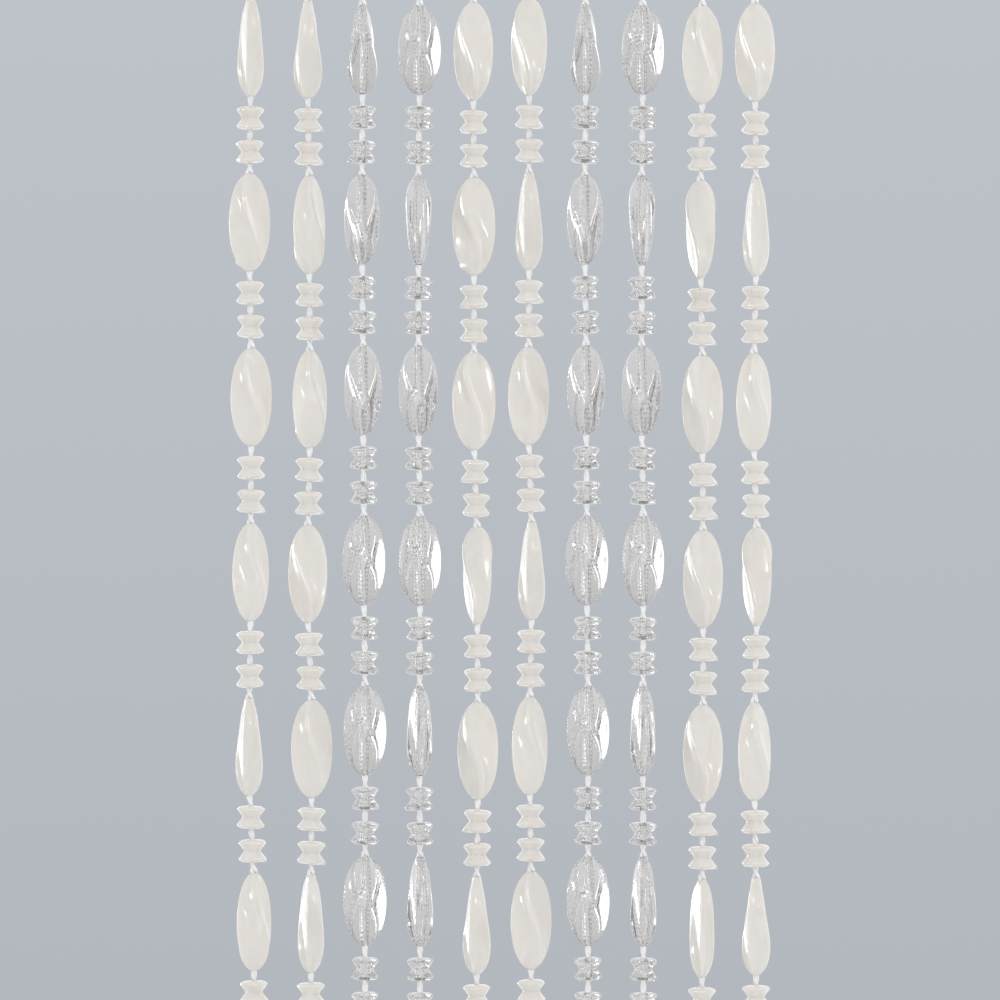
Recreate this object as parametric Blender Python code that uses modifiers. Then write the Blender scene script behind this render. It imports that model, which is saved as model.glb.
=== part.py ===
"""Cut length of a hanging bead curtain: a folded heading tape and ten bead strands.

Metres, +Z up. The front faces -Y. The origin is the middle of the heading's top edge, and the
strands hang below it. Sizes in the tables are millimetres, scaled by MM.
"""

from collections import namedtuple
from math import atan2, cos, pi, radians, sin, sqrt, tau

import bmesh
import bpy
from mathutils import Matrix, Vector

MM = 0.001

# Heading: a woven tape folded over the top ends of the strands.
HEADING_WIDTH = 196 * MM
HEADING_HEIGHT = 20 * MM
TAPE_THICKNESS = 1.0 * MM
FOLD_STEPS = 8
CLEARANCE = 0.3 * MM

# Cord, which also runs along inside the fold from strand to strand. Its four corners stand out
# a little past its round outline, so that the flats between them don't make it too thin, and
# two of those flats face the walls of the fold.
CORD_DIAMETER = 1.8 * MM
CORD_SIDES = 4
CORD_CORNER_RADIUS = 1.04 * MM
CORD_FIRST_CORNER = pi / CORD_SIDES
CORD_RUN_OVERHANG = 2 * MM

# Large twisted oval bead. Its section is a four-cornered lens: two side ridges that keep the
# outline, and a front and a back ridge that cross the bead from one side to the other.
BEAD_HALF_WIDTH = 7.25 * MM
BEAD_HALF_DEPTH = 4.5 * MM
BEAD_ROWS = 6
RIDGE_SLOPE = 1.2
RIDGE_LIMIT = 0.9
BEAD_STATIONS = (0.1, 0.3, 0.5, 0.7, 0.9)

# Small spool bead: a short hub between two flanges.
SPOOL_HEIGHT = 8.2 * MM
SPOOL_RIM_RADIUS = 4.85 * MM
SPOOL_RIM_SIDES = 6
SPOOL_RIM_OFFSET = 2.6 * MM
SPOOL_GROOVE_RADIUS = 3.3 * MM
SPOOL_GROOVE_SIDES = 4
SPOOLS_A_PAIR = 2

# Plain knot under the last spool of each strand.
KNOT_RADIUS = 1.9 * MM
KNOT_HEIGHT = 4 * MM
KNOT_LEAD = 2.5 * MM
TAIL_LENGTH = 3 * MM

# What is strung on a strand: the length of its large beads and the height of one repeat.
Kind = namedtuple("Kind", "bead_length repeat")
PEARL = Kind(bead_length=34.6 * MM, repeat=62.3 * MM)
CLEAR = Kind(bead_length=31.8 * MM, repeat=60.7 * MM)

# One row for each strand, all in millimetres and degrees: its place along the heading, how far
# below the origin its first large bead starts, the turn of each large bead about the cord
# (0 shows its broad face to the front), and how far each one hangs to the side.
Strand = namedtuple("Strand", "kind place start turns sways")
STRANDS = (
    Strand(PEARL, -89.8, 30.7, (75, 175, 5, 15, 70, 20), (0, -0.4, 0.2, 0, -0.5, 1.2)),
    Strand(PEARL, -68.7, 31.4, (75, 35, 30, 15, 10, 75), (-0.7, -0.2, 0, -0.7, 0.7, 0.4)),
    Strand(CLEAR, -49.9, 32.8, (60, 145, 150, 5, 10, 0), (0, -0.2, 0.2, 0.5, 0.9, 0.9)),
    Strand(CLEAR, -29.6, 33.0, (155, 95, 160, 10, 80, 95), (0, -0.4, -0.4, 0.2, 0, 0.2)),
    Strand(PEARL, -9.7, 32.1, (150, 10, 0, 125, 25, 80), (-0.7, -0.5, -0.5, 0.7, 0.9, 0.5)),
    Strand(PEARL, 9.7, 30.3, (160, 75, 175, 75, 165, 170), (-0.2, -0.2, -0.4, 0.7, 0, 0.5)),
    Strand(CLEAR, 29.6, 32.8, (60, 145, 150, 5, 10, 0), (0, -0.2, 0.2, 0.5, 0.9, 0.9)),
    Strand(CLEAR, 50.0, 33.0, (155, 95, 160, 10, 80, 95), (0, -0.4, -0.4, 0.2, 0, 0.2)),
    Strand(PEARL, 71.3, 33.2, (165, 130, 10, 25, 10, 90), (0, -0.7, 0, 0.2, 0.2, -0.2)),
    Strand(PEARL, 90.0, 32.4, (30, 75, 25, 85, 30, 50), (0, 0.4, -0.4, 0.7, -0.2, 0.4)),
)

# A level section of a strand: its height, its centre along X, its corners about that centre
# from above, counter-clockwise, and the bead whose ridges its corners belong to, if any.
Section = namedtuple("Section", "height centre corners bead")

FOLD_CENTRE = -(CORD_DIAMETER / 2 + CLEARANCE + TAPE_THICKNESS)
CORD_RUN_TOP = FOLD_CENTRE - CLEARANCE / 2
CORD_RUN_MIDDLE = CORD_RUN_TOP - CORD_DIAMETER / 2


def clear_scene():
    for item in list(bpy.data.objects):
        bpy.data.objects.remove(item, do_unlink=True)


def new_collection(name):
    collection = bpy.data.collections.new(name)
    bpy.context.scene.collection.children.link(collection)
    return collection


def finish_material(name, colour, roughness, metallic=0.0):
    material = bpy.data.materials.new(name)
    material.use_nodes = True
    shader = material.node_tree.nodes["Principled BSDF"]
    shader.inputs["Base Color"].default_value = (*colour, 1.0)
    shader.inputs["Roughness"].default_value = roughness
    shader.inputs["Metallic"].default_value = metallic
    return material


def mesh_object(name, mesh_build, collection, material=None):
    mesh = bpy.data.meshes.new(name)
    mesh_build.to_mesh(mesh)
    mesh_build.free()
    item = bpy.data.objects.new(name, mesh)
    collection.objects.link(item)
    if material:
        mesh.materials.append(material)
    return item


# Heading


def fold_profile():
    """The tape's outer face from its front edge, over the fold, to its back edge (y, z)."""
    radius = -FOLD_CENTRE
    arc = [pi - pi * step / FOLD_STEPS for step in range(FOLD_STEPS + 1)]
    over = [(radius * cos(turn), FOLD_CENTRE + radius * sin(turn)) for turn in arc]
    return [(-radius, -HEADING_HEIGHT), *over, (radius, -HEADING_HEIGHT)]


def make_heading(collection):
    build = bmesh.new()
    rows = [
        [build.verts.new((side * HEADING_WIDTH / 2, y, z)) for side in (-1, 1)]
        for y, z in fold_profile()
    ]
    for (left, right), (next_left, next_right) in zip(rows, rows[1:]):
        build.faces.new((left, right, next_right, next_left))
    tape = finish_material("heading_tape", (0.8, 0.79, 0.76), 0.85)
    heading = mesh_object("heading", build, collection, tape)
    shell = heading.modifiers.new("tape", "SOLIDIFY")
    shell.thickness = TAPE_THICKNESS
    shell.offset = -1
    shell.use_even_offset = True
    return heading


# Strands


def round_section(height, centre, radius, sides, first=0.0):
    angles = [first + tau * k / sides for k in range(sides)]
    corners = [Vector((radius * cos(angle), radius * sin(angle))) for angle in angles]
    return Section(height, centre, corners, None)


def bead_section(strand, row, station, centre):
    """The lens at one station of a large bead, from 0 at its top to 1 at its bottom."""
    along = 2 * station - 1
    swell = sqrt(1 - along * along)
    ridge = max(-RIDGE_LIMIT, min(RIDGE_LIMIT, RIDGE_SLOPE * along))
    half_width = BEAD_HALF_WIDTH * swell
    half_depth = BEAD_HALF_DEPTH * swell
    front = Vector((ridge * half_width, -half_depth))
    side = Vector((half_width, 0))
    turn = Matrix.Rotation(radians(strand.turns[row]), 2)
    corners = [turn @ corner for corner in (side, -front, -side, front)]
    top = bead_top(strand, row)
    return Section(top - station * strand.kind.bead_length, centre, corners, row)


def bead_top(strand, row):
    return -strand.start * MM - row * strand.kind.repeat


def bead_centre(strand, row):
    return (strand.place + strand.sways[row]) * MM


def cord_section(height, centre):
    return round_section(height, centre, CORD_CORNER_RADIUS, CORD_SIDES, CORD_FIRST_CORNER)


def spool_sections(middle, centre):
    half = SPOOL_HEIGHT / 2
    return [
        cord_section(middle + half, centre),
        round_section(middle + SPOOL_RIM_OFFSET, centre, SPOOL_RIM_RADIUS, SPOOL_RIM_SIDES),
        round_section(middle, centre, SPOOL_GROOVE_RADIUS, SPOOL_GROOVE_SIDES),
        round_section(middle - SPOOL_RIM_OFFSET, centre, SPOOL_RIM_RADIUS, SPOOL_RIM_SIDES),
        cord_section(middle - half, centre),
    ]


def strand_sections(strand):
    """Every section of a strand, from inside the heading's fold down to the cord's tail."""
    kind = strand.kind
    cord_gap = (kind.repeat - kind.bead_length - SPOOLS_A_PAIR * SPOOL_HEIGHT) / (SPOOLS_A_PAIR + 1)
    sections = [cord_section(CORD_RUN_MIDDLE, strand.place * MM)]
    for row in range(BEAD_ROWS):
        centre = bead_centre(strand, row)
        below = bead_centre(strand, min(row + 1, BEAD_ROWS - 1))
        top = bead_top(strand, row)
        sections.append(cord_section(top, centre))
        sections += [bead_section(strand, row, station, centre) for station in BEAD_STATIONS]
        bottom = top - kind.bead_length
        sections.append(cord_section(bottom, centre))
        for spool in range(SPOOLS_A_PAIR):
            share = (spool + 1) / (SPOOLS_A_PAIR + 1)
            middle = bottom - cord_gap - SPOOL_HEIGHT / 2 - spool * (SPOOL_HEIGHT + cord_gap)
            sections += spool_sections(middle, centre + (below - centre) * share)
    end = sections[-1]
    knot_middle = end.height - KNOT_LEAD - KNOT_HEIGHT / 2
    sections.append(cord_section(knot_middle + KNOT_HEIGHT / 2, end.centre))
    sections.append(round_section(knot_middle, end.centre, KNOT_RADIUS, CORD_SIDES))
    sections.append(cord_section(knot_middle - KNOT_HEIGHT / 2, end.centre))
    sections.append(cord_section(knot_middle - KNOT_HEIGHT / 2 - TAIL_LENGTH, end.centre))
    return sections


def join_by_corner(build, upper, lower):
    """Skin between two rings of one bead, so that each ridge stays unbroken."""
    count = len(upper)
    for k in range(count):
        after = (k + 1) % count
        build.faces.new((upper[k], lower[k], lower[after]))
        build.faces.new((upper[k], lower[after], upper[after]))


def join_by_angle(build, upper, lower, upper_turns, lower_turns):
    """Skin between two unlike rings, walking round both in step with their angles."""
    i = j = 0
    m, n = len(upper), len(lower)
    while i < m or j < n:
        next_upper = upper_turns[(i + 1) % m] + tau * ((i + 1) // m)
        next_lower = lower_turns[(j + 1) % n] + tau * ((j + 1) // n)
        if j == n or (i < m and next_upper <= next_lower):
            build.faces.new((upper[i % m], lower[j % n], upper[(i + 1) % m]))
            i += 1
        else:
            build.faces.new((upper[i % m], lower[j % n], lower[(j + 1) % n]))
            j += 1


def from_lowest_turn(ring, corners):
    """The ring and its angles, started at the corner with the smallest angle from +X."""
    turns = [atan2(corner.y, corner.x) % tau for corner in corners]
    first = turns.index(min(turns))
    order = [(first + k) % len(ring) for k in range(len(ring))]
    return [ring[k] for k in order], [turns[k] for k in order]


def make_tooth(name, strand, collection):
    build = bmesh.new()
    sections = strand_sections(strand)
    rings = [
        [build.verts.new((s.centre + c.x, c.y, s.height)) for c in s.corners] for s in sections
    ]
    build.faces.new(rings[0])
    build.faces.new(list(reversed(rings[-1])))
    pairs = zip(zip(sections, rings), zip(sections[1:], rings[1:]))
    for (upper, upper_ring), (lower, lower_ring) in pairs:
        if upper.bead is not None and upper.bead == lower.bead:
            join_by_corner(build, upper_ring, lower_ring)
        else:
            top, top_turns = from_lowest_turn(upper_ring, upper.corners)
            base, base_turns = from_lowest_turn(lower_ring, lower.corners)
            join_by_angle(build, top, base, top_turns, base_turns)
    tooth = mesh_object(name, build, collection)
    tooth.hide_render = True
    tooth.display_type = "WIRE"
    return tooth


def make_strand_comb(collection, guides):
    for number, strand in enumerate(STRANDS, start=1):
        make_tooth(f"strand_{number:02d}", strand, guides)
    left = STRANDS[0].place * MM - CORD_RUN_OVERHANG
    right = STRANDS[-1].place * MM + CORD_RUN_OVERHANG
    build = bmesh.new()
    size = Matrix.Diagonal((right - left, CORD_DIAMETER, CORD_DIAMETER, 1))
    place = Matrix.Translation(((left + right) / 2, 0, CORD_RUN_MIDDLE))
    bmesh.ops.create_cube(build, size=1, matrix=place @ size)
    pearl = finish_material("pearl_bead", (0.78, 0.76, 0.72), 0.2)
    comb = mesh_object("strand_comb", build, collection, pearl)
    joined = comb.modifiers.new("strands", "BOOLEAN")
    joined.operation = "UNION"
    joined.operand_type = "COLLECTION"
    joined.collection = guides
    joined.solver = "EXACT"
    return comb


def main():
    clear_scene()
    parts = new_collection("bead_curtain")
    guides = new_collection("strand_guides")
    make_heading(parts)
    make_strand_comb(parts, guides)


main()
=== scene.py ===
"""Looks of the bead curtain: twisted beads and spools on two-ply cords below a sewn heading."""

import random
from collections import namedtuple
from math import cos, exp, pi, radians, sin, sqrt, tanh, tau

import bpy
from mathutils import Matrix, Vector


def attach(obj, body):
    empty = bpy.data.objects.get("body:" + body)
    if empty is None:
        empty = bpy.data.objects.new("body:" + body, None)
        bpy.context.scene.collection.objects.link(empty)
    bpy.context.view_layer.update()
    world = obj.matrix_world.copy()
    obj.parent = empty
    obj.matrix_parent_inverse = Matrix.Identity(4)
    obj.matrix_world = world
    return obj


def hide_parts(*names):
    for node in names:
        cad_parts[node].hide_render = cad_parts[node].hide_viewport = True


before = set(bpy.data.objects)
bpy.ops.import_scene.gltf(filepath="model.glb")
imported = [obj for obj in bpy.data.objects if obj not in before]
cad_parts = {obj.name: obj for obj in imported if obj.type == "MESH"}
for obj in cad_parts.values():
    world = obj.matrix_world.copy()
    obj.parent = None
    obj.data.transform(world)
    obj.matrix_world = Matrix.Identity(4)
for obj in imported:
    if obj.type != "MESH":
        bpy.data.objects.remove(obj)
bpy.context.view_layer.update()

MM = 0.001
RANDOM = random.Random(27)

# What is strung on a strand: the length of its large beads, the height of one repeat, how deep the
# petals of its spool beads are cut, and the record's slot for its material.
Kind = namedtuple("Kind", "bead_length repeat petal_depth slot")
PEARL = Kind(34.6 * MM, 62.3 * MM, 0.06, "pearl_bead")
CLEAR = Kind(31.8 * MM, 60.7 * MM, 0.18, "clear_bead")

# One row for each strand, all in millimetres and degrees: its place along the heading, how far
# below the origin its first large bead starts, the turn of each large bead about the cord
# (0 shows its broad face to the front), and how far each one hangs to the side.
Strand = namedtuple("Strand", "kind place start turns sways")
STRANDS = (
    Strand(PEARL, -89.8, 30.7, (80, 20, 20, 35, 75, 40), (0, -0.4, 0.2, 0, -0.5, 1.2)),
    Strand(PEARL, -68.7, 31.4, (65, 45, 40, 155, 20, 80), (-0.7, -0.2, 0, -0.7, 0.7, 0.4)),
    Strand(CLEAR, -49.9, 32.8, (60, 145, 150, 10, 10, 5), (0, -0.2, 0.2, 0.5, 0.9, 0.9)),
    Strand(CLEAR, -29.6, 33.0, (10, 100, 155, 15, 85, 80), (0, -0.4, -0.4, 0.2, 0, 0.2)),
    Strand(PEARL, -9.7, 32.1, (155, 170, 5, 130, 160, 70), (-0.7, -0.5, -0.5, 0.7, 0.9, 0.5)),
    Strand(PEARL, 9.7, 30.3, (145, 75, 20, 75, 35, 20), (-0.2, -0.2, -0.4, 0.7, 0, 0.5)),
    Strand(CLEAR, 29.6, 32.8, (60, 145, 150, 10, 10, 5), (0, -0.2, 0.2, 0.5, 0.9, 0.9)),
    Strand(CLEAR, 50.0, 33.0, (10, 100, 155, 15, 85, 80), (0, -0.4, -0.4, 0.2, 0, 0.2)),
    Strand(PEARL, 71.3, 33.2, (20, 130, 160, 155, 155, 85), (0, -0.7, 0, 0.2, 0.2, -0.2)),
    Strand(PEARL, 90.0, 32.4, (155, 75, 35, 130, 40, 65), (0, 0.4, -0.4, 0.7, -0.2, 0.4)),
)

# Large twisted oval bead. Its section has four corners: two at the rims of its broad face and two
# at the ridges of its front and back.
BEAD_ROWS = 6
BEAD_HALF_WIDTH = 7.7 * MM
BEAD_HALF_DEPTH = 4.3 * MM
BREADTH_FULLNESS = 2.1
DEPTH_FULLNESS = 3.1
RIM_ROUNDING = 0.1
RIDGE_ROUNDING = 0.25
RIDGE_SLOPE = 1.0
RIDGE_LIMIT = 0.65
FACE_HOLLOW = 0.08
CORNER_STEPS = 8
FACE_STEPS = 8
BEAD_RINGS = 44

# The round collar at each end of a large bead, and its hole
COLLAR_RADIUS = 1.6 * MM
COLLAR_BLEND = 3.5
SHOULDER = 0.5 * MM
SHOULDER_DROP = 0.16
HOLE_RADIUS = 1.15 * MM
MOUTH_RADIUS = 1.3 * MM
MOUTH_DEPTH = 0.5 * MM
BORE_RADIUS = 1.8 * MM
BORE_TAPER = 5 * MM

# The hole from bottom to top: which end, how far up from it, and the radius there.
BORE = (
    (-1, 0, MOUTH_RADIUS),
    (-1, MOUTH_DEPTH, HOLE_RADIUS),
    (-1, BORE_TAPER, BORE_RADIUS),
    (1, -BORE_TAPER, BORE_RADIUS),
    (1, -MOUTH_DEPTH, HOLE_RADIUS),
    (1, 0, MOUTH_RADIUS),
)

# Moulding nib of a large bead, by the foot of one rim. Two of them show: one row for each, with
# the strand and the bead, counted from 1.
NIB_HEIGHT = 2.6 * MM
NIB_REACH = 1.0 * MM
NIB_SPREAD = 0.7 * MM
NIBBED = ((1, 2), (5, 2))

# Spool bead
SPOOL_HEIGHT = 8.2 * MM
SPOOLS_A_PAIR = 2
SPOOL_RIM_RADIUS = 4.95 * MM
SPOOL_RIM_OFFSET = 2.65 * MM
SPOOL_GROOVE_RADIUS = 2.96 * MM
SPOOL_LIP_RADIUS = 1.5 * MM
SPOOL_FLANK_POWER = 1.12
SPOOL_DOME_POWER = 2.4
SPOOL_PETALS = 6
SPOOL_PETAL_POWER = 1.5
SPOOL_COLUMNS = 42
SPOOL_STEPS = (0, 0.25, 0.8, 1.5, 2.2, 2.5, 2.65, 2.8, 3.05, 3.4, 3.75, 3.97, 4.1)
SPOOL_HOLE_ENDS = (-SPOOL_HEIGHT / 2, SPOOL_HEIGHT / 2)
SPOOL_LEAN = radians(3)

# Moulding nib of a spool bead, on its lower rim. It points to the right on the strands of the last
# row, counted from 1, and anywhere on the others.
SPOOL_NIB_OFFSET = 3.2 * MM
SPOOL_NIB_REACH = 0.6 * MM
SPOOL_NIB_DROP = 0.9 * MM
SPOOL_NIB_SPREAD = 0.55 * MM
SPOOL_NIB_AIM = radians(20)
SPOOL_NIBS_RIGHT = (2, 6, 9)

# Two-ply cord, whose plies part where they enter a large bead
PLY_RADIUS = 0.7 * MM
PLY_UNEVENNESS = (0.93, 1.05)
PLY_OFFSET = 0.4 * MM
PLY_SIDES = 10
TWIST_PITCH = 9 * MM
FORK_OFFSET = 0.75 * MM
FORK_HEIGHT = 0.5 * MM
FORK_REACH = 1.0 * MM
FORK_JITTER = radians(35)
SHOWN_STEP = 0.45 * MM
SEEN_THROUGH_STEP = 0.7 * MM
HIDDEN_STEP = 1.6 * MM

# The cord inside the heading's fold
RUN_HEIGHT = -3.25 * MM
RUN_LEFT = -91.8 * MM
RUN_RIGHT = 92 * MM
RUN_STEP = 0.8 * MM
RUN_PLY_RADIUS = 0.525 * MM
RUN_PLY_SIDES = 8

# Barrel knot and frayed tail below the last spool bead. The knot narrows towards its ends.
KNOT_LEAD = 2.5 * MM
KNOT_HEIGHT = 4 * MM
KNOT_TURNS = 2.6
KNOT_WRAP_RADIUS = 1.3 * MM
KNOT_END_WIDTH = 0.55
KNOT_END_SHARE = 0.125
KNOT_PLY_RADIUS = 0.4 * MM
KNOT_PLY_OFFSET = 0.28 * MM
KNOT_PLY_SIDES = 8
KNOT_TWISTS = 7
KNOT_STEPS = 54
TAIL_LENGTH = 3 * MM
TAIL_FIBRES = 14
TAIL_FIBRE_LENGTHS = (0.8 * MM, 1.9 * MM)
TAIL_ROOTS = (0.2, 1.3)
TAIL_OVERLAP = 0.3 * MM
TAIL_SPLAY = 0.8

# Loose fibre: how far along it each of its points is, and how thick it is there.
FIBRE_RADIUS = 0.08 * MM
FIBRE_SIDES = 4
FIBRE_CURL = 0.35
FIBRE_POINTS = ((0, 1), (0.35, 1), (0.7, 0.8), (1, 0.4))

# Heading: a tape folded over the tops of the cords. Each layer runs straight up to the fold, and
# then through a quarter turn to its top. The last two are the steps that tell how it slopes.
TAPE_WIDTH = 196 * MM
TAPE_HEIGHT = 20 * MM
TAPE_THICKNESS = 0.8 * MM
TAPE_FOLD = -2.2 * MM
TAPE_PINCHED = 0.35 * MM
TAPE_OPEN = 1.25 * MM
TAPE_STRAIGHT = TAPE_HEIGHT + TAPE_FOLD
TAPE_ARC = pi * (TAPE_OPEN + TAPE_THICKNESS / 2) / 2
TAPE_HALF_LENGTH = TAPE_STRAIGHT + TAPE_ARC
TAPE_COLUMN = 0.8 * MM
TAPE_STRAIGHT_STEPS = 20
TAPE_FOLD_STEPS = 10
SMALL_STEP = 0.1 * MM
SMALL_WAY = 0.002

# How the layers part: round each cord, above the upper seam and below the lower one, and in waves.
TAPE_RIDGE = 2.4 * MM
PARTING_START = 0.5 * MM
PARTING_RISE = 1.6 * MM
FLARE_START = 1.0 * MM
FLARE_DROP = 2.2 * MM
WAVE_GAP = 0.25 * MM
WAVE_SHARE_SEWN = 0.4
WAVE_LENGTHS = (5.3 * MM, 8.7 * MM)
WAVE_HEIGHT = 6 * MM

# Two sewn rows, and the tape's frayed ends
SEWN_HEIGHTS = (-6.2 * MM, -16.8 * MM)
SEAM_MARGIN = 3 * MM
STITCH_PITCH = 3.2 * MM
STITCH_LENGTH = 2.7 * MM
STITCH_RADIUS = 0.19 * MM
STITCH_LIFT = 1.9
STITCH_STEEPNESS = 2.2
STITCH_SLANT = 0.12 * MM
STITCH_STEPS = 6
STITCH_SIDES = 6
FRAY_THREADS = 30
FRAY_LONGEST = 2.2 * MM
FRAY_SHORTEST = 0.3
FRAY_ROOT = 0.5 * MM
FRAY_WAYS = 0.99
FRAY_LEAN_DEEP = 0.2
FRAY_LEAN_UP = 0.35

# Camera: straight on, from far enough away for the strands to stand parallel as in the photo.
FRAME_WIDTH = 356.5 * MM
FRAME_CENTRE = Vector((-0.9 * MM, 0, -209.3 * MM))
CAMERA_DISTANCE = 3.0
SENSOR_WIDTH = 36

# Floor and key lamp
DOORWAY_HEIGHT = 2.05
FLOOR_SIZE = 40
FLOOR_COLOUR = (0.6, 0.63, 0.66, 1)
KEY_PLACE = Vector((0.9, -2.2, 0.9))
KEY_SIZE = 1.0
KEY_POWER = 8

# The backdrop's colour below and above eye level, and how far it takes to change over.
BACKDROP_LOW = (0.451, 0.479, 0.514, 1)
BACKDROP_HIGH = (0.515, 0.546, 0.584, 1)
BACKDROP_BLEND = 0.06

# Soft light from all round: how much of it falls on a surface, outside and inside the clear beads,
# how much is mirrored from the front and from behind, and how much is seen through the clear beads
# from below and from above.
AMBIENT = 0.9
AMBIENT_IN_BEADS = 1.3
MIRRORED_LEVELS = (0.45, 1.05)
MIRRORED_REACH = (-0.2, 0.8)
SEEN_THROUGH_LEVELS = (0.72, 0.44)
SEEN_THROUGH_REACH = (radians(-30), radians(45))

# Soft boxes round the curtain: the turn of each from the front (negative to the left), its rise,
# half its width and half its height, all in degrees, and how bright it is (negative for a dark
# card). Those of the first list are what the surfaces mirror, those of the second are what is
# seen through the clear beads.
Box = namedtuple("Box", "turn rise half_width half_height strength")
MIRRORED_BOXES = (
    Box(-136, 0, 5, 7, 8.0),
    Box(-64, 0, 7, 4, 14.0),
    Box(11, -8, 3, 2, 8.0),
    Box(47, 10, 3, 4, 8.0),
)
SEEN_THROUGH_BOXES = (
    Box(-142, 2, 13, 8, 1.0),
    Box(-38, 8, 22, 14, -0.4),
    Box(-98, 12, 16, 24, -0.35),
    Box(114, 8, 12, 22, -0.35),
)
BOX_SOFTNESS = 1.8


# Mesh building


class Skin:
    """A joined mesh in the making: its points, their texture places, bore marks and faces."""

    def __init__(self):
        self.points = []
        self.grain = []
        self.bore = []
        self.faces = []

    def add_rings(self, rings, grain, closed=False, capped=False, bore_rings=0):
        """Skin over rings of equally many points, each running the same way round."""
        count = len(rings[0])
        first = len(self.points)
        for ring in rings:
            self.points += ring
        for ring in grain:
            self.grain += ring
        self.bore += [0.0] * count * (len(rings) - bore_rings) + [1.0] * count * bore_rings
        starts = [first + count * k for k in range(len(rings))]
        pairs = list(zip(starts, starts[1:]))
        if closed:
            pairs.append((starts[-1], starts[0]))
        for upper, lower in pairs:
            for k in range(count):
                after = (k + 1) % count
                self.faces.append((upper + k, lower + k, lower + after, upper + after))
        if capped:
            self.faces.append(tuple(starts[0] + k for k in range(count)))
            self.faces.append(tuple(starts[-1] + k for k in reversed(range(count))))

    def make(self, name, material, node):
        mesh = bpy.data.meshes.new(name)
        mesh.from_pydata(self.points, [], self.faces)
        layer = mesh.attributes.new("grain", "FLOAT_VECTOR", "POINT")
        layer.data.foreach_set("vector", [value for point in self.grain for value in point])
        layer = mesh.attributes.new("bore", "FLOAT", "POINT")
        layer.data.foreach_set("value", self.bore)
        mesh.shade_smooth()
        mesh.materials.append(material)
        piece = bpy.data.objects.new(name, mesh)
        bpy.context.scene.collection.objects.link(piece)
        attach(piece, "root")
        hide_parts(node)
        return piece


def random_vector():
    return Vector([RANDOM.uniform(-1, 1) for axis in range(3)])


def ease(share):
    share = min(1, max(0, share))
    return share * share * (3 - 2 * share)


def path_frames(path):
    """The two directions square to a path at each of its points, with no twist between them."""
    frames = []
    across = None
    for k, point in enumerate(path):
        along = (path[min(k + 1, len(path) - 1)] - path[max(k - 1, 0)]).normalized()
        across = across or along.orthogonal()
        across = (across - along * across.dot(along)).normalized()
        frames.append((across, along.cross(across)))
    return frames


def add_tube(skin, path, radii, sides):
    """A closed tube along a path. Its texture place is the way round it and the way along it."""
    angles = [-tau * side / sides for side in range(sides)]
    along = 0.0
    rings = []
    grain = []
    for k, (point, (across, other)) in enumerate(zip(path, path_frames(path))):
        along += (point - path[max(k - 1, 0)]).length
        rings.append([point + radii[k] * (across * cos(a) + other * sin(a)) for a in angles])
        grain.append([Vector((side / sides, 0, along)) for side in range(sides)])
    skin.add_rings(rings, grain, capped=True)


def add_plies(skin, path, radius, offset, twists, sides):
    """Two plies twisted together along a path."""
    frames = path_frames(path)
    for side in (0, pi):
        ply = []
        for k, (point, (across, other)) in enumerate(zip(path, frames)):
            angle = side + tau * twists * k / (len(path) - 1)
            ply.append(point + offset * (across * cos(angle) + other * sin(angle)))
        add_tube(skin, ply, [radius] * len(ply), sides)


def add_fibre(skin, root, way, length):
    """A fine loose fibre that thins out and curls a little."""
    curl = random_vector() * length * FIBRE_CURL
    path = [root + way * length * share + curl * share * share for share, width in FIBRE_POINTS]
    add_tube(skin, path, [FIBRE_RADIUS * width for share, width in FIBRE_POINTS], FIBRE_SIDES)


# Large beads


def rounded_diamond():
    """A square on its corner, 1 from its middle to each rounded corner, with hollow sides."""
    points = []
    for quarter in range(4):
        aim = pi / 2 * quarter
        rounding = (RIM_ROUNDING, RIDGE_ROUNDING)[quarter % 2]
        next_rounding = (RIDGE_ROUNDING, RIM_ROUNDING)[quarter % 2]
        for k in range(CORNER_STEPS + 1):
            angle = aim + pi / 4 * (2 * k / CORNER_STEPS - 1)
            out = Vector((cos(angle), sin(angle)))
            points.append((1 - rounding) * Vector((cos(aim), sin(aim))) + rounding * out)
        start = points[-1]
        end = (1 - next_rounding) * Vector((-sin(aim), cos(aim))) + next_rounding * out
        for k in range(1, FACE_STEPS):
            share = k / FACE_STEPS
            hollow = 4 * FACE_HOLLOW * share * (1 - share)
            points.append(start.lerp(end, share) - hollow * out)
    return points


def lens_section(way):
    """The four-cornered lens section, whose front corner leans across the bead.

    way runs from -1 at the bead's top to 1 at its bottom.
    """
    broad = BEAD_HALF_WIDTH * sqrt(1 - abs(way) ** BREADTH_FULLNESS)
    deep = BEAD_HALF_DEPTH * sqrt(1 - abs(way) ** DEPTH_FULLNESS)
    lean = RIDGE_LIMIT * tanh(RIDGE_SLOPE * way / RIDGE_LIMIT)
    return [Vector((broad * (p.x - lean * p.y), deep * p.y, 0)) for p in rounded_diamond()]


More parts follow.
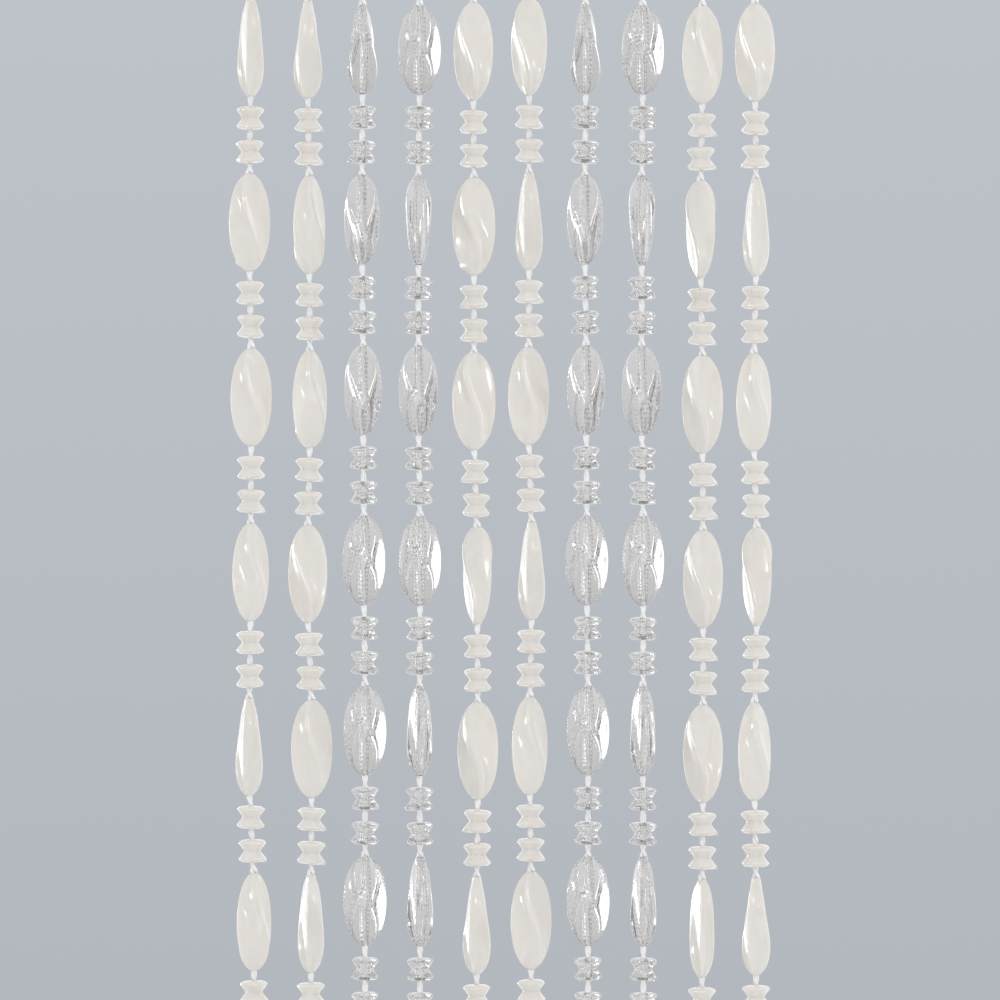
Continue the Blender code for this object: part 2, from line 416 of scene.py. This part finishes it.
def large_bead_rings(length, nib_reach):
    """A large bead about its own middle: down its outside and back up through its hole."""
    half = length / 2
    rings = []
    for k in range(BEAD_RINGS):
        angle = pi * (k + 0.5) / BEAD_RINGS
        height = half * cos(angle)
        shoulder = max(0.0, 1 - (half - abs(height)) / SHOULDER)
        collar = COLLAR_RADIUS * (1 - SHOULDER_DROP * shoulder * shoulder)
        low = (height + half - NIB_HEIGHT) / NIB_SPREAD
        ring = []
        for flat in lens_section(-cos(angle)):
            reach = (flat.length**COLLAR_BLEND + collar**COLLAR_BLEND) ** (1 / COLLAR_BLEND)
            way = flat.normalized()
            beside = way.y * reach / NIB_SPREAD
            if way.x < 0:
                reach += nib_reach * exp(-low * low - beside * beside)
            ring.append(way * reach + Vector((0, 0, height)))
        rings.append(ring)
    ways = [Vector((point.x, point.y, 0)).normalized() for point in rings[BEAD_RINGS // 2]]
    for end, inset, radius in BORE:
        rings.append([way * radius + Vector((0, 0, end * half + inset)) for way in ways])
    return rings


def bead_top(strand, row):
    return -strand.start * MM - row * strand.kind.repeat


def bead_centre(strand, row):
    return (strand.place + strand.sways[row]) * MM


def add_bead(skin, rings, place, bore_rings):
    """A placed copy of a bead, whose texture place is its own shape moved at random."""
    shift = random_vector()
    placed = [[place @ point for point in ring] for ring in rings]
    grain = [[point + shift for point in ring] for ring in rings]
    skin.add_rings(placed, grain, closed=True, bore_rings=bore_rings)


def make_large_beads(name, number, strand, material):
    plain = large_bead_rings(strand.kind.bead_length, 0)
    nibbed = large_bead_rings(strand.kind.bead_length, NIB_REACH)
    skin = Skin()
    for row in range(BEAD_ROWS):
        middle = bead_top(strand, row) - strand.kind.bead_length / 2
        place = Matrix.Translation((bead_centre(strand, row), 0, middle))
        rings = plain
        degrees = strand.turns[row]
        if (number, row + 1) in NIBBED:
            # Half a turn leaves all but the nib as it was, and brings the nib to the left.
            rings = nibbed
            degrees = (degrees + 90) % 180 - 90
        turn = Matrix.Rotation(radians(degrees), 4, "Z")
        add_bead(skin, rings, place @ turn, len(BORE))
    return skin.make(name, material, "strand_comb")


# Spool beads


def spool_radius(height):
    """The outside of a spool: a groove at its middle, two rims and two domed ends."""
    step = abs(height)
    if step < SPOOL_RIM_OFFSET:
        flank = (step / SPOOL_RIM_OFFSET) ** SPOOL_FLANK_POWER
        return SPOOL_GROOVE_RADIUS + (SPOOL_RIM_RADIUS - SPOOL_GROOVE_RADIUS) * flank
    dome = (step - SPOOL_RIM_OFFSET) / (SPOOL_HEIGHT / 2 - SPOOL_RIM_OFFSET)
    share = max(0, 1 - dome**SPOOL_DOME_POWER) ** (1 / SPOOL_DOME_POWER)
    return SPOOL_LIP_RADIUS + (SPOOL_RIM_RADIUS - SPOOL_LIP_RADIUS) * share


def spool_rings(petal_depth):
    """A spool about its own middle: down its outside and back up through its hole."""
    heights = [step * MM for step in reversed(SPOOL_STEPS)]
    heights += [-step * MM for step in SPOOL_STEPS[1:]]
    turns = [tau * column / SPOOL_COLUMNS for column in range(SPOOL_COLUMNS)]
    rings = []
    for height in heights:
        radius = spool_radius(height)
        out = max(0, (radius - SPOOL_GROOVE_RADIUS) / (SPOOL_RIM_RADIUS - SPOOL_GROOVE_RADIUS))
        low = (height + SPOOL_NIB_OFFSET) / SPOOL_NIB_SPREAD
        ring = []
        for turn in turns:
            notch = (1 - abs(cos(SPOOL_PETALS / 2 * turn))) ** SPOOL_PETAL_POWER
            beside = sin(turn) * radius / SPOOL_NIB_SPREAD
            nib = exp(-low * low - beside * beside) if cos(turn) > 0 else 0
            reach = radius * (1 - petal_depth * out * notch) + SPOOL_NIB_REACH * nib
            down = SPOOL_NIB_DROP * nib
            ring.append(Vector((reach * cos(turn), reach * sin(turn), height - down)))
        rings.append(ring)
    for height in SPOOL_HOLE_ENDS:
        rings.append([Vector((HOLE_RADIUS * cos(t), HOLE_RADIUS * sin(t), height)) for t in turns])
    return rings


def cord_gap(kind):
    """The bare cord above, between and below the spool beads of a pair."""
    return (kind.repeat - kind.bead_length - SPOOLS_A_PAIR * SPOOL_HEIGHT) / (SPOOLS_A_PAIR + 1)


def spool_places(strand):
    """The middle of each spool bead of a strand."""
    gap = cord_gap(strand.kind)
    places = []
    for row in range(BEAD_ROWS):
        centre = bead_centre(strand, row)
        below = bead_centre(strand, min(row + 1, BEAD_ROWS - 1))
        bottom = bead_top(strand, row) - strand.kind.bead_length
        for spool in range(SPOOLS_A_PAIR):
            share = (spool + 1) / (SPOOLS_A_PAIR + 1)
            height = bottom - gap - SPOOL_HEIGHT / 2 - spool * (SPOOL_HEIGHT + gap)
            places.append(Vector((centre + (below - centre) * share, 0, height)))
    return places


def make_spools(name, number, strand, material):
    rings = spool_rings(strand.kind.petal_depth)
    turns = (-SPOOL_NIB_AIM, SPOOL_NIB_AIM) if number in SPOOL_NIBS_RIGHT else (0, tau)
    skin = Skin()
    for middle in spool_places(strand):
        turn = Matrix.Rotation(RANDOM.uniform(*turns), 4, "Z")
        lean = Matrix.Rotation(RANDOM.uniform(-SPOOL_LEAN, SPOOL_LEAN), 4, "Y")
        place = Matrix.Translation(middle)
        add_bead(skin, rings, place @ lean @ turn, len(SPOOL_HOLE_ENDS))
    return skin.make(name, material, "strand_comb")


# Cords

Span = namedtuple("Span", "top bottom centre")


def strung_spans(strand):
    """Where the beads of a strand are, from top to bottom."""
    spans = []
    spools = spool_places(strand)
    for row in range(BEAD_ROWS):
        top = bead_top(strand, row)
        spans.append(Span(top, top - strand.kind.bead_length, bead_centre(strand, row)))
        for middle in spools[row * SPOOLS_A_PAIR : (row + 1) * SPOOLS_A_PAIR]:
            half = SPOOL_HEIGHT / 2
            spans.append(Span(middle.z + half, middle.z - half, middle.x))
    return spans


def cord_heights(strand, top, bottom):
    """Heights along a strand's cord, close together where it shows."""
    step_inside = SEEN_THROUGH_STEP if strand.kind is CLEAR else HIDDEN_STEP
    edges = [(top, SHOWN_STEP)]
    for span in strung_spans(strand):
        edges.append((span.top, step_inside))
        edges.append((span.bottom, SHOWN_STEP))
    edges.append((bottom, SHOWN_STEP))
    heights = []
    for (start, step), (end, after) in zip(edges, edges[1:]):
        count = max(1, round((start - end) / step))
        heights += [start + (end - start) * k / count for k in range(count)]
    return heights + [bottom]


def cord_centre(strand, height):
    """The cord's place at a height: straight inside each bead, leaning between two of them."""
    spans = strung_spans(strand)
    first = spans[0]
    if height > first.bottom:
        share = ease((height - first.top) / -first.top)
        return first.centre + (strand.place * MM - first.centre) * share
    for above, below in zip(spans, spans[1:]):
        if height >= below.bottom:
            share = ease((above.bottom - height) / (above.bottom - below.top))
            return above.centre + (below.centre - above.centre) * share
    return spans[-1].centre


def twist_angle(strand, height, jitters):
    """The turn of the plies, which lie side by side, give or take, where a large bead begins.

    jitters holds what is given or taken there, one angle for each large bead and the tail.
    """
    repeat = strand.kind.repeat
    half_turns = round(2 * repeat / TWIST_PITCH)
    row = (-strand.start * MM - height) / repeat
    below = int(row) + 1 if row >= 0 else 0
    low = jitters[min(max(below - 1, 0), BEAD_ROWS)]
    high = jitters[min(max(below, 0), BEAD_ROWS)]
    share = row - (below - 1)
    return pi * half_turns * row + low + (high - low) * ease(share)


def fork_offset(strand, height):
    """How far each ply stands off the cord's middle, more where they part above a large bead."""
    near = min(abs(height - bead_top(strand, row) - FORK_HEIGHT) for row in range(BEAD_ROWS))
    return PLY_OFFSET + (FORK_OFFSET - PLY_OFFSET) * exp(-((near / FORK_REACH) ** 2))


def make_cord(name, strand, material):
    last = spool_places(strand)[-1]
    bottom = last.z - SPOOL_HEIGHT / 2 - KNOT_LEAD - KNOT_HEIGHT - TAIL_LENGTH
    heights = cord_heights(strand, RUN_HEIGHT, bottom)
    jitters = [RANDOM.uniform(-FORK_JITTER, FORK_JITTER) for row in range(BEAD_ROWS + 1)]
    middle = [Vector((cord_centre(strand, height), 0, height)) for height in heights]
    skin = Skin()
    for side in (0, pi):
        path = []
        for point in middle:
            angle = twist_angle(strand, point.z, jitters) + side
            offset = fork_offset(strand, point.z)
            path.append(point + offset * Vector((cos(angle), sin(angle), 0)))
        radii = [PLY_RADIUS * RANDOM.uniform(*PLY_UNEVENNESS) for point in path]
        add_tube(skin, path, radii, PLY_SIDES)
    cord = skin.make(name, material, "strand_comb")


def make_knot(name, strand, material):
    """A barrel knot round the cord, and the frayed fibres of the cord's tail."""
    last = spool_places(strand)[-1]
    top = last.z - SPOOL_HEIGHT / 2 - KNOT_LEAD
    start = RANDOM.uniform(0, tau)
    rise = KNOT_HEIGHT - 2 * KNOT_PLY_RADIUS - 2 * KNOT_PLY_OFFSET
    wraps = []
    for k in range(KNOT_STEPS + 1):
        share = k / KNOT_STEPS
        angle = start + tau * KNOT_TURNS * share
        outward = ease(min(share, 1 - share) / KNOT_END_SHARE)
        radius = KNOT_WRAP_RADIUS * (KNOT_END_WIDTH + (1 - KNOT_END_WIDTH) * outward)
        height = top - (KNOT_HEIGHT - rise) / 2 - rise * share
        flat = radius * Vector((cos(angle), sin(angle), 0))
        wraps.append(Vector((last.x, 0, height)) + flat)
    skin = Skin()
    add_plies(skin, wraps, KNOT_PLY_RADIUS, KNOT_PLY_OFFSET, KNOT_TWISTS, KNOT_PLY_SIDES)
    foot = Vector((last.x, 0, top - KNOT_HEIGHT - TAIL_LENGTH + TAIL_OVERLAP))
    for fibre in range(TAIL_FIBRES):
        angle = RANDOM.uniform(0, tau)
        out = Vector((cos(angle), sin(angle), 0))
        way = (out * RANDOM.uniform(0, TAIL_SPLAY) + Vector((0, 0, -1))).normalized()
        root = foot + out * PLY_RADIUS * RANDOM.uniform(*TAIL_ROOTS)
        add_fibre(skin, root, way, RANDOM.uniform(*TAIL_FIBRE_LENGTHS))
    return skin.make(name, material, "strand_comb")


def make_cord_run(material):
    """The cord inside the heading's fold, from which the strands hang."""
    count = round((RUN_RIGHT - RUN_LEFT) / RUN_STEP)
    path = []
    for k in range(count + 1):
        along = RUN_LEFT + (RUN_RIGHT - RUN_LEFT) * k / count
        path.append(Vector((along, 0, RUN_HEIGHT)))
    skin = Skin()
    twists = (RUN_RIGHT - RUN_LEFT) / TWIST_PITCH
    add_plies(skin, path, RUN_PLY_RADIUS, PLY_OFFSET, twists, RUN_PLY_SIDES)
    skin.make("cord_run", material, "strand_comb")


# Heading


def tape_gap(along, height):
    """Half the space between the tape's two layers: held open by the cords, sewn shut between."""
    near = min(abs(along - strand.place * MM) for strand in STRANDS)
    ridge = exp(-((near / TAPE_RIDGE) ** 2))
    upper, lower = SEWN_HEIGHTS
    parting = ease((height - upper - PARTING_START) / PARTING_RISE)
    flare = ease((lower - FLARE_START - height) / FLARE_DROP)
    first, second = WAVE_LENGTHS
    wave = sin(along / first) * cos(along / second + height / WAVE_HEIGHT)
    between = WAVE_GAP * (0.5 + 0.5 * wave) * (WAVE_SHARE_SEWN + flare)
    return TAPE_PINCHED + between + (TAPE_OPEN - TAPE_PINCHED - between) * max(ridge, parting)


def tape_middle(along, way):
    """A point of the tape's own middle. way runs from -1 at the front edge to 1 at the back."""
    side = -1 if way < 0 else 1
    run = (1 - abs(way)) * TAPE_HALF_LENGTH
    if run < TAPE_STRAIGHT:
        height = run - TAPE_HEIGHT
        return Vector((along, side * (tape_gap(along, height) + TAPE_THICKNESS / 2), height))
    radius = tape_gap(along, TAPE_FOLD) + TAPE_THICKNESS / 2
    turn = pi / 2 * (run - TAPE_STRAIGHT) / TAPE_ARC
    return Vector((along, side * radius * cos(turn), TAPE_FOLD + radius * sin(turn)))


def tape_out(along, way):
    """From a point of the tape's own middle to its outer face."""
    aside = tape_middle(along + SMALL_STEP, way) - tape_middle(along, way)
    onward = tape_middle(along, way + SMALL_WAY) - tape_middle(along, way - SMALL_WAY)
    return aside.cross(onward).normalized() * TAPE_THICKNESS / 2


def tape_ways():
    """Where the tape has points from edge to edge, close together in the fold."""
    edge = TAPE_ARC / TAPE_HALF_LENGTH
    down = [edge + (1 - edge) * k / TAPE_STRAIGHT_STEPS for k in range(TAPE_STRAIGHT_STEPS + 1)]
    over = [edge * (2 * k / TAPE_FOLD_STEPS - 1) for k in range(1, TAPE_FOLD_STEPS)]
    return [-way for way in reversed(down)] + over + down


def make_tape(material):
    ways = tape_ways()
    count = round(TAPE_WIDTH / TAPE_COLUMN)
    rings = []
    grain = []
    for k in range(count + 1):
        along = TAPE_WIDTH * (k / count - 0.5)
        points = [tape_middle(along, way) for way in ways]
        outs = [tape_out(along, way) for way in ways]
        outer = [point + out for point, out in zip(points, outs)]
        inner = [point - out for point, out in zip(points, outs)]
        places = [Vector((along, way * TAPE_HALF_LENGTH, 0)) for way in ways]
        rings.append(outer + inner[::-1])
        grain.append(places + places[::-1])
    skin = Skin()
    skin.add_rings(rings, grain)
    size = len(rings[0])
    last = len(skin.points) - size
    for k in range(len(ways) - 1):
        skin.faces.append((k, k + 1, size - 2 - k, size - 1 - k))
        skin.faces.append((last + size - 1 - k, last + size - 2 - k, last + k + 1, last + k))
    return skin.make("heading_tape", material, "heading")


def make_stitches(material):
    """Two sewn rows, front and back: each stitch arches over the tape and dives into it."""
    skin = Skin()
    count = int((TAPE_WIDTH - 2 * SEAM_MARGIN) / STITCH_PITCH)
    first = -(count - 1) * STITCH_PITCH / 2 - STITCH_LENGTH / 2
    for row in SEWN_HEIGHTS:
        for side in (-1, 1):
            for stitch in range(count):
                slant = RANDOM.uniform(-STITCH_SLANT, STITCH_SLANT)
                path = []
                for k in range(STITCH_STEPS + 1):
                    share = k / STITCH_STEPS
                    along = first + stitch * STITCH_PITCH + STITCH_LENGTH * share
                    height = row + slant * (share - 0.5)
                    arch = min(1, STITCH_STEEPNESS * sin(pi * share))
                    lift = STITCH_RADIUS * (STITCH_LIFT * arch - 1)
                    away = tape_gap(along, height) + TAPE_THICKNESS + lift
                    path.append(Vector((along, side * away, height)))
                add_tube(skin, path, [STITCH_RADIUS] * len(path), STITCH_SIDES)
    return skin.make("heading_stitches", material, "heading")


def make_frayed_ends(material):
    """Loose threads where the tape is cut off at its left and right ends."""
    skin = Skin()
    for side in (-1, 1):
        for thread in range(FRAY_THREADS):
            edge = tape_middle(side * TAPE_WIDTH / 2, RANDOM.uniform(-FRAY_WAYS, FRAY_WAYS))
            root = edge - Vector((side * FRAY_ROOT, 0, 0))
            length = FRAY_LONGEST * RANDOM.uniform(FRAY_SHORTEST, 1)
            deep = RANDOM.uniform(-FRAY_LEAN_DEEP, FRAY_LEAN_DEEP)
            up = RANDOM.uniform(-FRAY_LEAN_UP, FRAY_LEAN_UP)
            add_fibre(skin, root, Vector((side, deep, up)).normalized(), length)
    return skin.make("heading_frayed_ends", material, "heading")


def make_heading(tape_material, thread_material):
    tape = make_tape(tape_material)
    stitches = make_stitches(thread_material)
    ends = make_frayed_ends(tape_material)


# Materials


class Nodes:
    """A node tree in the making."""

    def __init__(self, tree):
        self.tree = tree

    def node(self, kind, inputs=(), **settings):
        made = self.tree.nodes.new("ShaderNode" + kind)
        for key, value in settings.items():
            setattr(made, key, value)
        for key, value in dict(inputs).items():
            self.feed(made.inputs[key], value)
        return made

    def feed(self, socket, value):
        if isinstance(value, bpy.types.NodeSocket):
            self.tree.links.new(value, socket)
        else:
            socket.default_value = value

    def math(self, operation, first, second=0.0):
        made = self.node("Math", {0: first, 1: second}, operation=operation)
        return made.outputs["Value"]

    def blend(self, share, first, second):
        """The number first where share is 0, and second where it is 1."""
        made = self.node("Mix", {"Factor": share, "A": first, "B": second})
        return made.outputs["Result"]


class Finish(Nodes):
    """A procedural material in the making."""

    def __init__(self, name):
        self.material = bpy.data.materials.new(name)
        self.material.use_nodes = True
        super().__init__(self.material.node_tree)
        self.shader = self.tree.nodes["Principled BSDF"]

    def set(self, **values):
        for key, value in values.items():
            self.feed(self.shader.inputs[key.replace("_", " ")], value)

    def grain(self, scale):
        """The texture place that each mesh carries, stretched by scale."""
        place = self.node("Attribute", attribute_name="grain")
        stretch = self.node("Mapping", {"Vector": place.outputs["Vector"], "Scale": scale})
        return stretch.outputs["Vector"]

    def noise(self, scale, detail, distortion=0.0):
        inputs = {"Vector": self.grain(scale), "Scale": 1.0, "Detail": detail}
        return self.node("TexNoise", {**inputs, "Distortion": distortion}).outputs["Fac"]

    def wave(self, scale, direction, distortion):
        inputs = {"Vector": self.grain(scale), "Scale": 1.0, "Distortion": distortion}
        made = self.node("TexWave", {**inputs, "Detail": 2.0}, bands_direction=direction)
        return made.outputs["Fac"]

    def range(self, value, low, high):
        made = self.node("MapRange", {"Value": value, "To Min": low, "To Max": high})
        return made.outputs["Result"]

    def ramp(self, value, stops):
        made = self.node("ValToRGB", {"Fac": value})
        ramp = made.color_ramp
        while len(ramp.elements) < len(stops):
            ramp.elements.new(1.0)
        for element, (place, colour) in zip(ramp.elements, stops):
            element.position = place
            element.color = (*colour, 1.0)
        return made.outputs["Color"]

    def bump(self, height, strength, distance):
        made = self.node("Bump", {"Height": height, "Strength": strength, "Distance": distance})
        self.feed(self.shader.inputs["Normal"], made.outputs["Normal"])


def pearl_finish():
    """Milky plastic with faint swirls below a clear coat."""
    finish = Finish("pearl_bead")
    swirl = finish.noise((110, 110, 50), 2.5, 0.8)
    shades = [
        (0.30, (0.765, 0.725, 0.675)),
        (0.45, (0.80, 0.775, 0.735)),
        (0.58, (0.78, 0.75, 0.71)),
        (0.72, (0.83, 0.81, 0.775)),
    ]
    colour = finish.ramp(swirl, shades)
    marks = finish.noise((220, 220, 140), 2.0)
    finish.set(Base_Color=colour, Roughness=finish.range(marks, 0.3, 0.38))
    finish.set(Coat_Weight=1.0, Coat_Roughness=0.05, Coat_IOR=1.5)
    finish.set(Subsurface_Weight=0.4, Subsurface_Scale=0.0012, Subsurface_Radius=(1, 0.9, 0.8))
    finish.bump(marks, 0.2, 0.0002)
    return finish.material


def clear_finish():
    """Clear acrylic with flow marks and specks outside, and a dull, ribbed hole."""
    finish = Finish("clear_bead")
    bore = finish.node("Attribute", attribute_name="bore").outputs["Fac"]
    flow = finish.noise((420, 420, 170), 2.5, 0.6)
    specks = finish.noise((1000, 1000, 1000), 2.0)
    ribs = finish.wave((120, 120, 200), "Z", 5.0)
    tint = finish.ramp(specks, [(0.35, (0.90, 0.90, 0.905)), (0.6, (1.0, 1.0, 1.0))])
    finish.set(Base_Color=tint, Roughness=finish.blend(bore, finish.range(flow, 0.0, 0.04), 0.15))
    finish.set(IOR=1.49, Transmission_Weight=1.0)
    outside = finish.blend(0.35, flow, specks)
    finish.bump(finish.blend(bore, outside, ribs), 0.55, 0.0003)
    return finish.material


def cord_finish():
    """Soft white yarn with fine fibres slanting round it."""
    finish = Finish("bead_cord")
    fibres = finish.wave((3, 0, 1400), "DIAGONAL", 2.0)
    colour = finish.ramp(fibres, [(0.0, (0.90, 0.90, 0.905)), (0.6, (0.98, 0.98, 0.985))])
    finish.set(Base_Color=colour, Roughness=0.85, Sheen_Weight=0.3)
    finish.bump(fibres, 0.5, 0.0001)
    return finish.material


def tape_finish():
    """Plain woven tape, a little cloudy."""
    finish = Finish("heading_tape")
    warp = finish.wave((0, 700, 0), "Y", 0.4)
    weft = finish.wave((900, 0, 0), "X", 0.4)
    weave = finish.blend(0.5, warp, weft)
    cloud = finish.noise((180, 260, 0), 3.0)
    worn = finish.blend(0.4, weave, cloud)
    colour = finish.ramp(worn, [(0.15, (0.70, 0.69, 0.66)), (0.7, (0.85, 0.84, 0.81))])
    finish.set(Base_Color=colour, Roughness=finish.range(weave, 0.92, 0.8), Sheen_Weight=0.25)
    finish.bump(weave, 0.8, 0.00012)
    return finish.material


# Light, camera and surroundings


def make_camera():
    data = bpy.data.cameras.new("camera")
    data.sensor_width = SENSOR_WIDTH
    data.lens = SENSOR_WIDTH * CAMERA_DISTANCE / FRAME_WIDTH
    camera = bpy.data.objects.new("camera", data)
    camera.location = FRAME_CENTRE + Vector((0, -CAMERA_DISTANCE, 0))
    camera.rotation_euler = (pi / 2, 0, 0)
    bpy.context.scene.collection.objects.link(camera)
    bpy.context.scene.camera = camera


def within(nodes, angle, middle, half):
    """1 where an angle is within half of middle, and softly 0 beyond."""
    away = nodes.math("ABSOLUTE", nodes.math("SUBTRACT", angle, radians(middle)))
    inputs = {"Value": away, "From Min": radians(half + BOX_SOFTNESS), "From Max": radians(half)}
    return nodes.node("MapRange", inputs, interpolation_type="SMOOTHSTEP").outputs["Result"]


def with_boxes(nodes, base, turn, rise, boxes):
    """The light from a direction: a base level and what each box adds to it."""
    light = base
    for box in boxes:
        wide = within(nodes, turn, box.turn, box.half_width)
        high = within(nodes, rise, box.rise, box.half_height)
        glow = nodes.math("MULTIPLY", nodes.math("MULTIPLY", wide, high), box.strength)
        light = nodes.math("ADD", light, glow)
    return light


def spread(nodes, value, reach, levels):
    """A number that runs from one level to the other while a value runs through its reach."""
    start, end = reach
    low, high = levels
    inputs = {"Value": value, "From Min": start, "From Max": end, "To Min": low, "To Max": high}
    return nodes.node("MapRange", inputs).outputs["Result"]


def make_surroundings():
    """An even studio: a plain backdrop, soft light from all round, and soft boxes to mirror."""
    world = bpy.data.worlds.new("studio")
    world.use_nodes = True
    world.cycles.sampling_method = "NONE"
    nodes = Nodes(world.node_tree)
    way = nodes.node("TexCoord").outputs["Generated"]
    axes = nodes.node("SeparateXYZ", {"Vector": way}).outputs
    turn = nodes.math("ARCTAN2", axes["X"], nodes.math("MULTIPLY", axes["Y"], -1.0))
    rise = nodes.math("ARCSINE", axes["Z"])
    mirrored_base = spread(nodes, axes["Y"], MIRRORED_REACH, MIRRORED_LEVELS)
    mirrored = with_boxes(nodes, mirrored_base, turn, rise, MIRRORED_BOXES)
    through_base = spread(nodes, rise, SEEN_THROUGH_REACH, SEEN_THROUGH_LEVELS)
    through = with_boxes(nodes, through_base, turn, rise, SEEN_THROUGH_BOXES)
    ray = nodes.node("LightPath").outputs
    passed = nodes.math("GREATER_THAN", ray["Transmission Depth"], 0.5)
    scattered = nodes.math("GREATER_THAN", ray["Diffuse Depth"], 0.5)
    soft = nodes.blend(passed, AMBIENT, AMBIENT_IN_BEADS)
    strength = nodes.blend(scattered, nodes.blend(passed, mirrored, through), soft)
    studio = nodes.node("Background", {"Color": (1, 1, 1, 1), "Strength": strength})
    above = spread(nodes, axes["Z"], (-BACKDROP_BLEND, BACKDROP_BLEND), (0.0, 1.0))
    shade = nodes.node("Mix", {"Factor": above}, data_type="RGBA")
    shade.inputs["A"].default_value = BACKDROP_LOW
    shade.inputs["B"].default_value = BACKDROP_HIGH
    backdrop = nodes.node("Background", {"Color": shade.outputs["Result"]})
    inputs = {0: ray["Is Camera Ray"], 1: studio.outputs[0], 2: backdrop.outputs[0]}
    both = nodes.node("MixShader", inputs)
    nodes.feed(nodes.tree.nodes["World Output"].inputs["Surface"], both.outputs[0])
    bpy.context.scene.world = world


def make_floor():
    mesh = bpy.data.meshes.new("floor")
    half = FLOOR_SIZE / 2
    corners = [(-half, -half, 0), (half, -half, 0), (half, half, 0), (-half, half, 0)]
    mesh.from_pydata(corners, [], [(0, 1, 2, 3)])
    floor = bpy.data.objects.new("floor", mesh)
    floor.location.z = -DOORWAY_HEIGHT
    floor.visible_diffuse = False
    floor.visible_glossy = False
    floor.visible_transmission = False
    finish = Finish("floor")
    finish.set(Base_Color=FLOOR_COLOUR, Roughness=0.9)
    mesh.materials.append(finish.material)
    bpy.context.scene.collection.objects.link(floor)


def make_key_lamp():
    data = bpy.data.lights.new("key", "AREA")
    data.shape = "SQUARE"
    data.size = KEY_SIZE
    data.energy = KEY_POWER
    lamp = bpy.data.objects.new("key", data)
    lamp.location = KEY_PLACE
    aim = FRAME_CENTRE - KEY_PLACE
    lamp.rotation_euler = aim.to_track_quat("-Z", "Y").to_euler()
    lamp.visible_camera = False
    lamp.visible_glossy = False
    lamp.visible_transmission = False
    bpy.context.scene.collection.objects.link(lamp)


def allow_bounces():
    """Let light find its way out of the clear beads, and of the cords inside them."""
    cycles = bpy.context.scene.cycles
    cycles.max_bounces = 24
    cycles.transmission_bounces = 24
    cycles.glossy_bounces = 16
    cycles.diffuse_bounces = 6


def main():
    bpy.context.scene.view_settings.view_transform = "Standard"
    allow_bounces()
    make_camera()
    make_surroundings()
    make_floor()
    make_key_lamp()
    pearl, clear, twine, tape = pearl_finish(), clear_finish(), cord_finish(), tape_finish()
    for number, strand in enumerate(STRANDS, start=1):
        word = f"strand_{number:02d}"
        finish = pearl if strand.kind is PEARL else clear
        large = make_large_beads(word + "_large_beads", number, strand, finish)
        small = make_spools(word + "_spools", number, strand, finish)
        knot = make_knot(word + "_knot", strand, twine)
        make_cord(word + "_cord", strand, twine)
    make_cord_run(twine)
    make_heading(tape, twine)


main()
